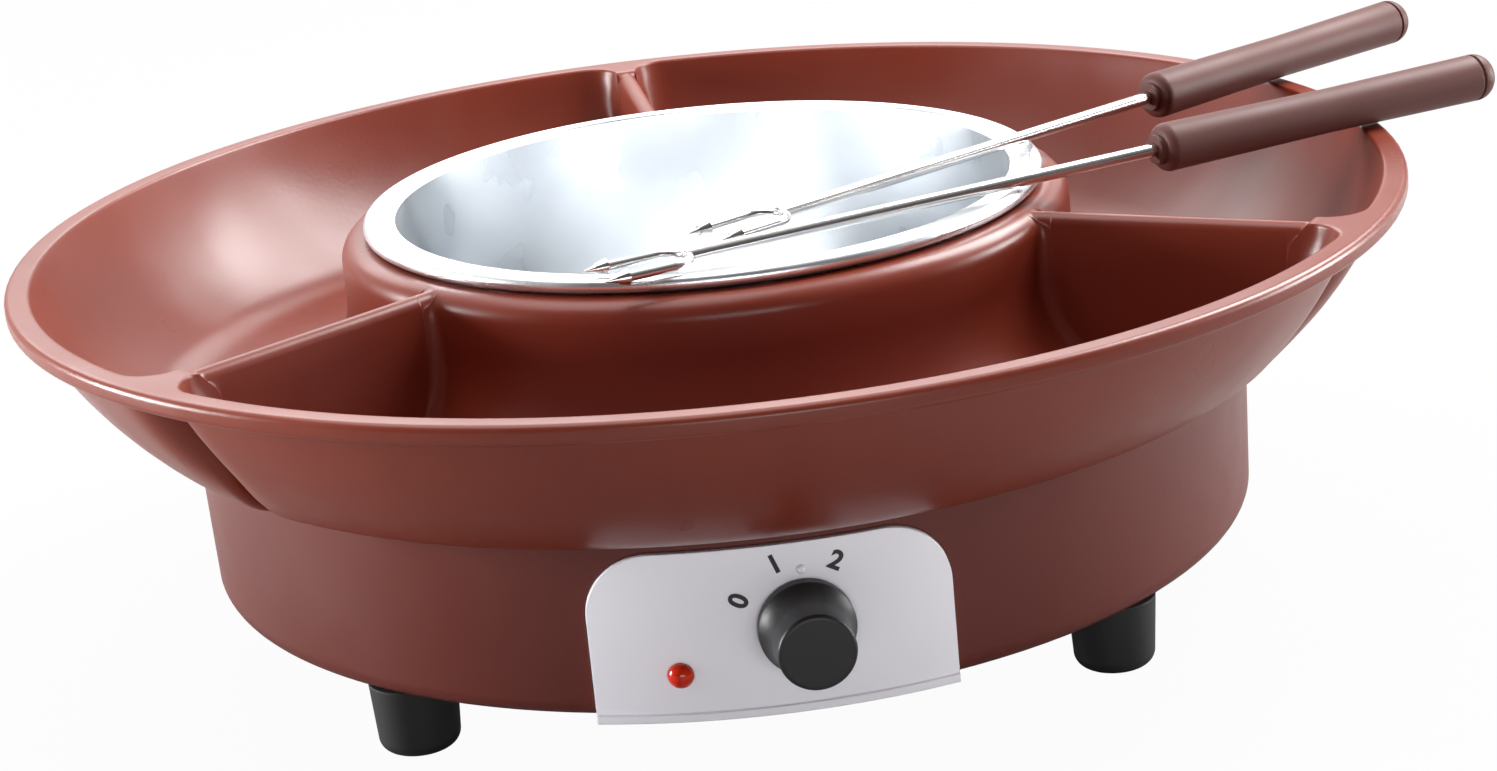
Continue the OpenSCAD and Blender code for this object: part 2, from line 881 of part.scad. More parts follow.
module lens_retainer() {
    color("silver")
        on_front(-lens_angle, lens_z)
            translate([0, 0, -retainer_depth - retainer_t])
                difference() {
                    ring(retainer_r - seat_gap, lens_r + seat_gap, retainer_t);
                    for (a = [0, 60, 120])
                        rotate([0, 0, a])
                            translate([-lens_r - retainer_t, -retainer_t / 2, -cut])
                                cube([2 * (lens_r + retainer_t), retainer_t, 2 * cut + retainer_t]);
                }
}

// Rotary switch and knob

module switch_body() {
    color("darkslategray")
        on_front(knob_angle, knob_z)
            difference() {
                union() {
                    translate([-switch_w / 2, -switch_h / 2, -pad_depth - switch_depth])
                        cube([switch_w, switch_h, switch_depth]);
                    translate([0, 0, -pad_depth - cut])
                        cylinder(h = pad_depth + cut + bush_proud, r = collar_bush_r, $fn = small_fn);
                }
                translate([0, 0, -shaft_in - run_gap])
                    cylinder(h = shaft_in + pad_depth + bush_proud, r = shaft_r + run_gap, $fn = small_fn);
            }
}

module switch_nut() {
    color("silver")
        on_front(knob_angle, knob_z)
            difference() {
                cylinder(h = nut_t, r = nut_r, $fn = 6);
                translate([0, 0, -cut])
                    cylinder(h = nut_t + 2 * cut, r = collar_bush_r + seat_gap, $fn = small_fn);
            }
}

module switch_terminals() {
    color("gold")
        on_front(knob_angle, knob_z)
            for (i = [-1:1])
                translate([i * tab_pitch - tab_w / 2, -tab_t / 2, -pad_depth - switch_depth - tab_len])
                    cube([tab_w, tab_t, tab_len]);
}

// Round shaft whose outer end has a flat on one side, thinned by a gap
module flat_shaft(r, h, flat) {
    difference() {
        cylinder(h = h, r = r, $fn = small_fn);
        translate([-r - cut, r - flat, -cut])
            cube([2 * r + 2 * cut, flat + cut, h + 2 * cut]);
    }
}

module switch_shaft() {
    color("silver")
        on_front(knob_angle, knob_z) {
            translate([0, 0, -shaft_in])
                cylinder(h = shaft_in + bush_proud, r = shaft_r, $fn = small_fn);
            translate([0, 0, bush_proud])
                flat_shaft(shaft_r, shaft_out - bush_proud, shaft_flat);
        }
}

module knob() {
    flare_w = skirt_r - grip_r;
    flare_r = (pow(flare_w, 2) + pow(flare_h, 2)) / 2 / flare_w;
    color("black")
        on_front(knob_angle, knob_z)
            translate([0, 0, knob_lift])
                difference() {
                    rotate_extrude()
                        union() {
                            square([skirt_r, skirt_h]);
                            difference() {
                                square([skirt_r, skirt_h + flare_h]);
                                translate([grip_r + flare_r, skirt_h + flare_h])
                                    circle(r = flare_r, $fn = large_fn);
                            }
                            square([grip_r, knob_len - grip_edge_r]);
                            square([grip_r - grip_edge_r, knob_len]);
                            translate([grip_r - grip_edge_r, knob_len - grip_edge_r])
                                circle(r = grip_edge_r, $fn = bead_fn);
                        }
                    translate([0, 0, -cut])
                        cylinder(h = knob_cup_depth + cut, r = knob_cup_r);
                    translate([0, 0, -cut])
                        flat_shaft(shaft_r + seat_gap, shaft_out + cut, shaft_flat - clip_t - 2 * clip_gap);
                }
}

// Spring strip that takes up the play between the shaft's flat and the knob
module knob_clip() {
    color("silver")
        on_front(knob_angle, knob_z)
            translate([-shaft_r / 2, shaft_r - shaft_flat + clip_gap, shaft_out - clip_len - seat_gap])
                cube([shaft_r, clip_t, clip_len]);
}

// Heater

module hot_plate() {
    color("darkgray")
        difference() {
            union() {
                translate([0, 0, plate_z])
                    cylinder(h = plate_t, r = plate_r, $fn = large_fn);
                translate([0, 0, plate_z - ridge_h])
                    ring(element_ring_r + ridge_w, element_ring_r - ridge_w, ridge_h + cut);
                around(bush_angles, bush_circle_r)
                    translate([0, 0, plate_z - plate_boss_h])
                        cylinder(h = plate_boss_h + cut, r = plate_boss_r);
            }
            translate([0, 0, element_z])
                rotate_extrude($fn = large_fn)
                    translate([element_ring_r, 0])
                        circle(r = element_r + seat_gap, $fn = small_fn);
            around(bush_angles, bush_circle_r)
                translate([0, 0, plate_z - plate_boss_h - cut])
                    cylinder(h = plate_boss_h + plate_t / 2 + cut, r = plate_screw_r - thread_gap, $fn = small_fn);
        }
}

// Places at both cold ends, which turn down from the ring's ends on either side of the rear
module at_cold_ends() {
    end_angle = 180 - element_span / 2 + asin((cold_end_r + cut) / element_ring_r);
    for (side = [-1, 1])
        rotate([0, 0, side * end_angle])
            translate([0, element_ring_r, 0])
                children();
}

module heating_element() {
    color("slategray") {
        translate([0, 0, element_z])
            rotate([0, 0, 270 - element_span / 2])
                rotate_extrude(angle = element_span, $fn = large_fn)
                    translate([element_ring_r, 0])
                        circle(r = element_r, $fn = small_fn);
        at_cold_ends()
            translate([0, 0, element_z - cold_end_len])
                cylinder(h = cold_end_len, r = cold_end_r, $fn = small_fn);
    }
}

module element_seals() {
    color("ivory")
        at_cold_ends()
            translate([0, 0, element_z - cold_end_len - seal_h])
                ring(seal_r, pin_r + seat_gap, seal_h);
}

module element_terminals() {
    color("silver")
        at_cold_ends()
            translate([0, 0, element_z - cold_end_len - seal_h - pin_len])
                cylinder(h = seal_h + pin_len, r = pin_r, $fn = small_fn);
}

module thermostat() {
    color("tan")
        translate([0, 0, plate_z - stat_h]) {
            cylinder(h = stat_h, r = stat_r);
            translate([0, 0, stat_h - stat_flange_h])
                cylinder(h = stat_flange_h, r = stat_flange_r);
            for (side = [-1, 1])
                translate([side * stat_tab_x - stat_tab_w / 2, -stat_tab_w / 2, -stat_tab_len])
                    cube([stat_tab_w, stat_tab_w, stat_tab_len]);
        }
}

module thermal_fuse() {
    color("white")
        translate([fuse_x, fuse_y, plate_z - fuse_r])
            rotate([90, 0, 0]) {
                translate([0, 0, -fuse_len / 2])
                    cylinder(h = fuse_len, r = fuse_r, $fn = small_fn);
                translate([0, 0, -fuse_len / 2 - fuse_lead_len])
                    cylinder(h = fuse_len + 2 * fuse_lead_len, r = fuse_lead_r, $fn = small_fn);
            }
}

module fuse_clip() {
    strap_r = fuse_r + seat_gap + clip_strap_t;
    color("silver")
        translate([fuse_x, fuse_y + clip_strap_w / 2, plate_z - fuse_r])
            rotate([90, 0, 0])
                linear_extrude(height = clip_strap_w)
                    difference() {
                        union() {
                            circle(r = strap_r, $fn = small_fn);
                            translate([-strap_r, 0])
                                square([2 * strap_r, fuse_r]);
                        }
                        circle(r = fuse_r + seat_gap, $fn = small_fn);
                        translate([-strap_r - cut, fuse_r])
                            square([2 * strap_r + 2 * cut, strap_r]);
                        translate([-fuse_r - seat_gap, 0])
                            square([2 * fuse_r + 2 * seat_gap, fuse_r + cut]);
                    }
}

module spacer_bushes() {
    bush_h = plate_z - plate_boss_h - shield_floor_z;
    color("ivory")
        around(bush_angles, bush_circle_r)
            translate([0, 0, shield_floor_z])
                ring(bush_r, bush_bore_r, bush_h);
}

module plate_screws() {
    color("silver")
        around(bush_angles, bush_circle_r)
            translate([0, 0, shield_floor_z - shield_t])
                screw(plate_screw_r - 2 * thread_gap, plate_z - shield_floor_z + shield_t + plate_t / 4,
                    plate_screw_head_r, plate_screw_head_h);
}

module heat_shield() {
    color("lightgray")
        difference() {
            rotate_extrude($fn = large_fn)
                difference() {
                    union() {
                        vessel_2d(shield_r + shield_t, shield_flange_z, shield_floor_z - shield_t,
                            shield_edge_r + shield_t, 0);
                        translate([0, shield_flange_z - shield_t])
                            square([shield_flange_r, shield_t]);
                    }
                    vessel_2d(shield_r, shield_flange_z + cut, shield_floor_z, shield_edge_r, 0);
                }
            around(shield_angles, shield_screw_circle_r)
                translate([0, 0, shield_flange_z - shield_t - cut])
                    cylinder(h = shield_t + 2 * cut, r = shield_screw_r + thread_gap, $fn = small_fn);
            around(bush_angles, bush_circle_r)
                translate([0, 0, shield_floor_z - shield_t - cut])
                    cylinder(h = shield_t + 2 * cut, r = bush_bore_r, $fn = small_fn);
            translate([0, 0, shield_floor_z - shield_t - cut]) {
                at_cold_ends()
                    cylinder(h = shield_t + 2 * cut, r = end_hole_r, $fn = small_fn);
                cylinder(h = shield_t + 2 * cut, r = shield_vent_r);
            }
        }
}

module shield_screws() {
    color("silver")
        around(shield_angles, shield_screw_circle_r)
            translate([0, 0, shield_flange_z - shield_t])
                screw(shield_screw_r - 2 * thread_gap, shield_t + shield_screw_grip - seat_gap,
                    shield_screw_head_r, shield_screw_head_h);
}

// Supply side

// Centre of each way of the terminal block
way_pitch = block_w / block_ways;

module at_ways() {
    for (i = [0:block_ways - 1])
        translate([(i + 0.5) * way_pitch - block_w / 2, block_y, cover_top_z])
            children();
}

module terminal_block() {
    color("beige")
        difference() {
            union() {
                translate([-block_w / 2, block_y - block_d / 2, cover_top_z])
                    cube([block_w, block_d, block_step_h]);
                translate([-block_w / 2, block_y - block_d / 4, cover_top_z])
                    cube([block_w, block_d / 2, block_h]);
            }
            at_ways() {
                translate([0, block_d, block_step_h / 2])
                    rotate([90, 0, 0])
                        cylinder(h = 2 * block_d, r = way_r - seat_gap, $fn = small_fn);
                translate([0, 0, block_step_h])
                    cylinder(h = block_h, r = way_screw_r + seat_gap, $fn = small_fn);
            }
        }
}

module terminal_screws() {
    color("silver")
        at_ways()
            translate([0, 0, block_step_h])
                difference() {
                    cylinder(h = way_screw_h, r = way_screw_r, $fn = small_fn);
                    translate([-way_screw_r - cut, -way_slot_w / 2, way_screw_h - way_slot_w])
                        cube([2 * way_screw_r + 2 * cut, way_slot_w, way_slot_w + cut]);
                }
}

module cord_gland() {
    inner_flat = sqrt(pow(inner_r, 2) - pow(gland_inner_r, 2)) - rest_gap / 2;
    color("black")
        rotate([0, 0, 180])
            translate([0, 0, base_z + gland_rise])
                rotate([90, 0, 0])
                    difference() {
                        union() {
                            translate([0, 0, inner_flat - gland_inner_t])
                                cylinder(h = gland_inner_t, r = gland_inner_r, $fn = small_fn);
                            translate([0, 0, inner_flat - cut])
                                cylinder(h = base_r - inner_flat + gland_flange_t, r = gland_r, $fn = small_fn);
                            translate([0, 0, base_r])
                                cylinder(h = gland_flange_t, r = gland_flange_r, $fn = small_fn);
                        }
                        translate([0, 0, inner_flat - gland_inner_t - cut])
                            cylinder(h = tray_r, r = gland_bore_r, $fn = small_fn);
                    }
}

// Forks

// Places a fork lying across the rims
module fork_place(angle, side, reach) {
    rotate([0, 0, angle])
        translate([reach - fork_len, side, fork_z])
            children();
}

// One tine with its pointed tip and barb
module tine() {
    rotate([0, 90, 0]) {
        cylinder(h = tine_tip_len, r1 = tine_tip_r, r2 = tine_r, $fn = bead_fn);
        translate([0, 0, tine_tip_len])
            cylinder(h = tine_len - tine_spread - tine_tip_len, r = tine_r, $fn = bead_fn);
        translate([0, 0, tine_tip_len - barb_len / 2])
            cylinder(h = barb_len, r1 = tine_r, r2 = barb_r, $fn = bead_fn);
    }
}

module fork_shaft() {
    bend_x = tine_len - tine_spread;
    for (side = [-1, 1])
        translate([0, side * tine_spread, 0])
            tine();
    translate([bend_x, 0, 0])
        rotate([0, 0, -90])
            rotate_extrude(angle = 180)
                translate([tine_spread, 0])
                    circle(r = tine_r, $fn = bead_fn);
    translate([tine_len - tine_r / 2, 0, 0])
        rotate([0, 90, 0])
            cylinder(h = fork_len - handle_len + shaft_seat - tine_len - seat_gap, r = fork_shaft_r,
                $fn = small_fn);
}

// Section of the handle along its length, with a rounded nose and butt and a gentle waist
module handle_2d() {
    difference() {
        union() {
            polygon([[0, handle_nose_r], [handle_r, handle_nose_r], [handle_waist_r, handle_len / 2],
                [handle_r, handle_len - handle_butt_r], [0, handle_len - handle_butt_r]]);
            square([handle_r - handle_nose_r, handle_nose_r]);
            translate([handle_r - handle_nose_r, handle_nose_r])
                circle(r = handle_nose_r, $fn = small_fn);
            translate([0, handle_len - handle_butt_r])
                square([handle_r - handle_butt_r, handle_butt_r]);
            translate([handle_r - handle_butt_r, handle_len - handle_butt_r])
                intersection() {
                    circle(r = handle_butt_r, $fn = small_fn);
                    square(handle_butt_r);
                }
        }
        translate([handle_r - groove_depth, handle_len - groove_from_end])
            square([handle_r, groove_w]);
    }
}

module fork_handle() {
    translate([fork_len - handle_len, 0, 0])
        rotate([0, 90, 0])
            difference() {
                union() {
                    rotate_extrude()
                        handle_2d();
                    translate([0, 0, -nose_collar_h])
                        cylinder(h = 2 * nose_collar_h, r = nose_collar_r, $fn = small_fn);
                }
                translate([0, 0, -nose_collar_h - cut])
                    cylinder(h = shaft_seat + nose_collar_h + cut, r = fork_shaft_r + seat_gap, $fn = small_fn);
            }
}

base_housing();
bottom_cover();
foot(-foot_angle);  // foot_front_left
foot(foot_angle);  // foot_front_right
foot(180 + foot_angle);  // foot_rear_left
foot(180 - foot_angle);  // foot_rear_right
foot_screws();
control_panel();
panel_screws();
indicator_lens();
indicator_lamp();
lens_retainer();
switch_body();
switch_nut();
switch_terminals();
switch_shaft();
knob();
knob_clip();
hot_plate();
heating_element();
element_seals();
element_terminals();
thermostat();
thermal_fuse();
fuse_clip();
spacer_bushes();
plate_screws();
heat_shield();
shield_screws();
terminal_block();
terminal_screws();
cord_gland();
serving_tray();
melting_pot();
color("silver") fork_place(rear_fork_angle, rear_fork_side, rear_fork_reach) fork_shaft();  // rear_fork_shaft
color("saddlebrown") fork_place(rear_fork_angle, rear_fork_side, rear_fork_reach) fork_handle();  // rear_fork_handle
color("silver") fork_place(front_fork_angle, front_fork_side, front_fork_reach) fork_shaft();  // front_fork_shaft
color("saddlebrown") fork_place(front_fork_angle, front_fork_side, front_fork_reach) fork_handle();  // front_fork_handle
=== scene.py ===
import json
import math

import bpy
from mathutils import Matrix, Vector


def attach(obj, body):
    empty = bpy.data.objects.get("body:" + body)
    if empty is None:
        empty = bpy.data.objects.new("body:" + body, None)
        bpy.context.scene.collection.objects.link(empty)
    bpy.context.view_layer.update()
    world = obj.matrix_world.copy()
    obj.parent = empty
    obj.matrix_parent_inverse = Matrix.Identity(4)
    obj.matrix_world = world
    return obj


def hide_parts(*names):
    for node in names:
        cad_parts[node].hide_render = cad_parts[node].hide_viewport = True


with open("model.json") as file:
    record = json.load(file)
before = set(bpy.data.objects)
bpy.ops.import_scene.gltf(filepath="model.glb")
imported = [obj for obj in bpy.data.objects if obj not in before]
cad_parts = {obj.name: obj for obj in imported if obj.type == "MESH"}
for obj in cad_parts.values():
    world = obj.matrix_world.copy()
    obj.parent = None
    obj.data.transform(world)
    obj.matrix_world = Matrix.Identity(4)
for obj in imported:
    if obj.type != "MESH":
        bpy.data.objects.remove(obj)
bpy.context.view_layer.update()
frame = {"nodes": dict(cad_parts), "record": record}
MM = 0.001


# Materials

TONE_SCALE = 14.0
TONE_DETAIL = 3.0
PATCH_FINENESS = 3.0
PATCH_DETAIL = 2.0
GRAIN_SCALE = 900.0
GRAIN_DETAIL = 2.0
GRAIN_DEPTH = 0.00002
WAVE_DETAIL = 1.0
EDGE_SAMPLES = 6
NOISE_LOW, NOISE_HIGH = 0.2, 0.8


def new_material(name):
    mat = bpy.data.materials.new(name)
    mat.use_nodes = True
    tree = mat.node_tree
    shader = tree.nodes["Principled BSDF"]
    coords = tree.nodes.new("ShaderNodeTexCoord")
    return mat, tree, shader, coords


def noise_node(tree, coords, scale, detail=TONE_DETAIL):
    tex = tree.nodes.new("ShaderNodeTexNoise")
    tex.inputs["Scale"].default_value = scale
    tex.inputs["Detail"].default_value = detail
    tree.links.new(coords.outputs["Object"], tex.inputs["Vector"])
    return tex.outputs["Fac"]


def ranged(tree, value, low, high):
    """Spread the middle of a noise over a range, with no hard line at either end."""
    node = tree.nodes.new("ShaderNodeMapRange")
    node.interpolation_type = "SMOOTHERSTEP"
    node.inputs["From Min"].default_value = NOISE_LOW
    node.inputs["From Max"].default_value = NOISE_HIGH
    node.inputs["To Min"].default_value = low
    node.inputs["To Max"].default_value = high
    tree.links.new(value, node.inputs["Value"])
    return node.outputs["Result"]


def two_tone(tree, value, dark, light):
    ramp = tree.nodes.new("ShaderNodeValToRGB")
    ramp.color_ramp.interpolation = "EASE"
    ends = ramp.color_ramp.elements
    ends[0].position, ends[1].position = NOISE_LOW, NOISE_HIGH
    ends[0].color, ends[1].color = (*dark, 1.0), (*light, 1.0)
    tree.links.new(value, ramp.inputs["Fac"])
    return ramp.outputs["Color"]


def bump_node(tree, height, depth):
    bump = tree.nodes.new("ShaderNodeBump")
    bump.inputs["Distance"].default_value = depth
    tree.links.new(height, bump.inputs["Height"])
    return bump


def soft_edge_normal(tree, radius):
    edge = tree.nodes.new("ShaderNodeBevel")
    edge.samples = EDGE_SAMPLES
    edge.inputs["Radius"].default_value = radius
    return edge.outputs["Normal"]


def surface(name, dark, light, rough, metallic=0.0, specular=0.5, coat=0.0, coat_rough=0.1,
            tone_scale=TONE_SCALE, wave=0.0, wave_scale=30.0, soft_edge=0.0):
    """A procedural finish: a slow change of tone, a change of roughness and a fine grain.

    A wave adds a slow unevenness of the face, and soft_edge rounds the edges in the light.
    """
    mat, tree, shader, coords = new_material(name)
    tone = noise_node(tree, coords, tone_scale)
    tree.links.new(two_tone(tree, tone, dark, light), shader.inputs["Base Color"])
    patches = noise_node(tree, coords, tone_scale * PATCH_FINENESS, PATCH_DETAIL)
    tree.links.new(ranged(tree, patches, *rough), shader.inputs["Roughness"])
    shader.inputs["Metallic"].default_value = metallic
    shader.inputs["Specular IOR Level"].default_value = specular
    shader.inputs["Coat Weight"].default_value = coat
    shader.inputs["Coat Roughness"].default_value = coat_rough
    bump = bump_node(tree, noise_node(tree, coords, GRAIN_SCALE, GRAIN_DETAIL), GRAIN_DEPTH)
    lowest = bump
    if wave:
        lowest = bump_node(tree, noise_node(tree, coords, wave_scale, WAVE_DETAIL), wave)
        tree.links.new(lowest.outputs["Normal"], bump.inputs["Normal"])
    if soft_edge:
        tree.links.new(soft_edge_normal(tree, soft_edge), lowest.inputs["Normal"])
    tree.links.new(bump.outputs["Normal"], shader.inputs["Normal"])
    return mat


SLOT_MATERIALS = {
    "tray_plastic": surface("tray_brown", (0.140, 0.020, 0.010), (0.180, 0.028, 0.013), (0.27, 0.36),
                            specular=0.33, coat=0.08, coat_rough=0.3, wave=0.0003, wave_scale=40.0),
    "base_plastic": surface("base_brown", (0.090, 0.014, 0.009), (0.112, 0.018, 0.011), (0.33, 0.42),
                            specular=0.35, soft_edge=0.0006),
    "cover_plastic": surface("cover_dark", (0.018, 0.014, 0.013), (0.032, 0.026, 0.025), (0.5, 0.65)),
    "foot_rubber": surface("foot_black", (0.012, 0.012, 0.012), (0.020, 0.020, 0.020), (0.5, 0.65),
                           specular=0.3, soft_edge=0.0006),
    "screw_steel": surface("plated_steel", (0.50, 0.50, 0.50), (0.62, 0.62, 0.62), (0.25, 0.38),
                           metallic=1.0),
    "panel_plastic": surface("panel_white", (0.88, 0.86, 0.93), (0.93, 0.91, 0.96), (0.35, 0.45),
                             specular=0.4, soft_edge=0.0005),
    "switch_plastic": surface("switch_black", (0.010, 0.010, 0.012), (0.022, 0.022, 0.025), (0.45, 0.6)),
    "terminal_brass": surface("terminal_brass", (0.60, 0.42, 0.18), (0.72, 0.52, 0.24), (0.28, 0.4),
                              metallic=1.0),
    "knob_plastic": surface("knob_black", (0.005, 0.005, 0.005), (0.010, 0.010, 0.011), (0.38, 0.5),
                            specular=0.4, soft_edge=0.0005),
    "plate_aluminium": surface("cast_plate", (0.34, 0.34, 0.35), (0.44, 0.44, 0.45), (0.38, 0.5),
                               metallic=1.0),
    "element_steel": surface("element_dark", (0.10, 0.09, 0.085), (0.20, 0.18, 0.16), (0.45, 0.6),
                             metallic=0.8),
    "ceramic": surface("ceramic_white", (0.66, 0.62, 0.54), (0.76, 0.72, 0.64), (0.5, 0.65)),
    "shield_aluminium": surface("shield_sheet", (0.62, 0.62, 0.63), (0.72, 0.72, 0.73), (0.3, 0.42),
                                metallic=1.0),
    "pot_steel": surface("pot_polished", (0.70, 0.73, 0.76), (0.85, 0.87, 0.89), (0.26, 0.34), metallic=1.0,
                         tone_scale=26.0, wave=0.0002, wave_scale=18.0),
    "fork_steel": surface("fork_steel", (0.60, 0.58, 0.57), (0.74, 0.72, 0.71), (0.14, 0.22), metallic=1.0),
    "handle_plastic": surface("handle_brown", (0.085, 0.029, 0.024), (0.108, 0.038, 0.031), (0.46, 0.56),
                              specular=0.22, soft_edge=0.0004),
    "lens_red": surface("lens_red", (0.42, 0.012, 0.002), (0.62, 0.030, 0.004), (0.12, 0.2), specular=0.25,
                        coat=0.1, coat_rough=0.08, tone_scale=300.0),
    "lamp_glass": surface("lamp_glass", (0.8, 0.5, 0.35), (0.9, 0.6, 0.45), (0.08, 0.15)),
}
ink_mat = surface("panel_ink", (0.010, 0.010, 0.012), (0.020, 0.020, 0.022), (0.5, 0.6))

for part in frame["record"]["subparts"]:
    for material_slot in frame["nodes"][part["node"]].material_slots:
        material_slot.material = SLOT_MATERIALS[part["material_slot"]]


# Mesh helper

def add_mesh(name, verts, faces, material, body, slot_name, smooth=True):
    mesh = bpy.data.meshes.new(name)
    mesh.from_pydata(verts, [], faces)
    mesh.validate()
    mesh.update()
    if smooth:
        mesh.polygons.foreach_set("use_smooth", [True] * len(mesh.polygons))
    mesh.materials.append(material)
    obj = bpy.data.objects.new(name, mesh)
    bpy.context.scene.collection.objects.link(obj)
    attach(obj, body)
    return obj


# Tray: one closed skin on the solid's own sections, with soft fillets where the dividers meet the dish
# Its sizes are in millimetres: radii from its axis, and heights over its underside, which stands at SEAT_Z

SEAT_Z = 51.0
TRAY_R = 150.0
TRAY_H = 36.0
TRAY_WALL = 2.2
TRAY_TURN = 4.4
DIVIDER_ANGLES = (-54.4, 54.4, 180.0)

# Collar round the pot: a tube, a fold over the top of it, a shoulder and a sweep down to the floor
# The lip's steps go out from the tube's inside and down from the top
TUBE_OUT = 73.7
TUBE_IN = TUBE_OUT - TRAY_WALL
COLLAR_WALL = 2.5
COLLAR_R = 79.0
COLLAR_IN = COLLAR_R - COLLAR_WALL
COLLAR_CORNER = 2.5
SHOULDER_R = 4.5
SHOULDER = (COLLAR_R - SHOULDER_R, TRAY_H - SHOULDER_R)
SHOULDER_STEPS = 9
SWEEP_R = 22.0
SWEEP = (COLLAR_R + SWEEP_R, TRAY_WALL + SWEEP_R)
SWEEP_STEPS = 16
UNDER_SWEEP_START, UNDER_SWEEP_STEPS = 261, 12
CORNER_DEPTHS = (1.0, 6.5)
CORNER_SWEEP_STEPS = (2, 10)
LIP_STEPS = ((0.0, 0.6), (0.15, 0.17), (0.5, 0.0), (1.1, 0.0), (2.3, 0.0))
COLLAR_LEVELS = (30.2, 28.8, 26.5)
FOLD_TOP = 29.3
FOLD_SOFT, FOLD_DIP = 0.7, 0.2
EDGE_SOFT, EDGE_DIP = 0.6, 0.15
TUBE_LEVELS = (15.0, 30.0)

# Dish: a flat floor, a fillet and a side, as two arcs that meet at one angle
FLOOR_RADII = (103.0, 106.0, 109.5, 112.5)
UNDER_FLOOR_RADII = (112.0, 108.0, 103.0, 98.5)
FILLET_R = 15.0
FILLET = (113.8, TRAY_WALL + FILLET_R)
SIDE_R = 82.8
SIDE = (68.3, 67.5)
SIDE_LOW, SIDE_HIGH, UNDER_SIDE_HIGH = -47.9, -22.9, -25.6
FILLET_STEPS, SIDE_STEPS = 7, 18
RIM_CORNER_LEVELS = (10, 30)
UNDER_RIM_CORNER_LEVELS = (3, 24)

# Rim: a flat band with a rounded edge, as steps out from its inner radius and down from its face
# The third number of a step is its share of the compartments' rounded corners
RIM_BAND = 5.0
RIM_INNER = TRAY_R - RIM_BAND
RIM_DROP = 4.0
RIM_EDGE_R = 1.35
RIM_EDGE_TURN, RIM_EDGE_STEPS = 84, 6
RIM_STEPS = ((-0.14, 0.22, 1.0), (0.2, 0.05, 0.97), (0.7, 0.0, 0.9), (1.5, 0.0, 0.6), (2.6, 0.0, 0.25),
             (3.4, 0.0, 0.0))
UNDER_RIM_STEPS = ((3.2, 0.0, 0.0), (2.4, 0.0, 0.2), (1.6, 0.0, 0.6), (1.0, 0.2, 0.85), (0.6, 0.6, 0.97))

# Dividers: a round crest on two drafted faces, hollow from below
CREST_DROP = 0.4
CREST_Z = TRAY_H - CREST_DROP
CREST_R = 2.25
CREST_ARC_Z = CREST_Z - CREST_R
CREST_TURN = 86
FACE_HALF = 2.2555
DRAFT_ANGLE = 4.0
DRAFT = math.tan(math.radians(DRAFT_ANGLE))
UPPER = {"arc_w": CREST_R, "arc_h": CREST_R, "arc_z": CREST_ARC_Z, "wall": 0.0, "fillet": 3.2, "corner": 9.0}
UNDER = {"arc_w": 0.96, "arc_h": 0.6, "arc_z": 30.3, "wall": 1.5, "fillet": 2.0, "corner": 10.5}
CREST_COLUMNS, FACE_COLUMNS, FILLET_COLUMNS, MIDDLE_COLUMNS = 5, 7, 6, 44
FACE_SPREAD, FILLET_SPREAD = 0.03, 0.05
LEAST_FILLET = 0.15
RISE_SHARE = 0.45
BEYOND = (0.8, 1.9, 3.3, 5.0, 7.0, 9.5, 12.5)
NORMAL_WEIGHT = 60


def arc_points(centre, radius, start, end, steps):
    points = []
    for i in range(steps + 1):
        a = math.radians(start + (end - start) * i / steps)
        points.append((centre[0] + radius * math.cos(a), centre[1] + radius * math.sin(a)))
    return points


def step_up(value, low, high):
    t = min(max((value - low) / (high - low), 0.0), 1.0)
    return t * t * (3.0 - 2.0 * t)


def corner_inset(distance, radius):
    """How far a rounded corner keeps the wall back, at a distance from the divider's foot."""
    if distance <= 0.0:
        return radius
    if distance >= radius:
        return 0.0
    return radius - math.sqrt(radius * radius - (radius - distance) ** 2)


def section_row(point, upper, divided=True, rim_shift=0.0, collar_shift=0.0):
    """One row of the closed section, which runs all round the tray.

    It holds the radius and height, whether it lies on the upper side, whether the dividers cross it,
    and how far it follows the rounded corners at the rim and at the collar.
    """
    return (*point, upper, divided, rim_shift, collar_shift)


def collar_rows():
    """The upper side from the tube over the shoulder and down the sweep."""
    rows = [section_row((TUBE_IN + out, TRAY_H - down), True) for out, down in LIP_STEPS]
    slope = arc_points(SHOULDER, SHOULDER_R, 90, 0, SHOULDER_STEPS) + [(COLLAR_R, z) for z in COLLAR_LEVELS]
    rows += [section_row(p, True, collar_shift=step_up(CREST_Z - p[1], *CORNER_DEPTHS)) for p in slope]
    for i, p in enumerate(arc_points(SWEEP, SWEEP_R, 180, 270, SWEEP_STEPS)):
        rows.append(section_row(p, True, collar_shift=1.0 - step_up(i, *CORNER_SWEEP_STEPS)))
    return rows


def dish_rows():
    """The upper side from the floor up to the rim's band."""
    rows = [section_row((r, TRAY_WALL), True) for r in FLOOR_RADII]
    side = arc_points(FILLET, FILLET_R, -90, SIDE_LOW, FILLET_STEPS)
    side += arc_points(SIDE, SIDE_R, SIDE_LOW, SIDE_HIGH, SIDE_STEPS)[1:]
    rows += [section_row(p, True, rim_shift=step_up(p[1], *RIM_CORNER_LEVELS)) for p in side]
    return rows


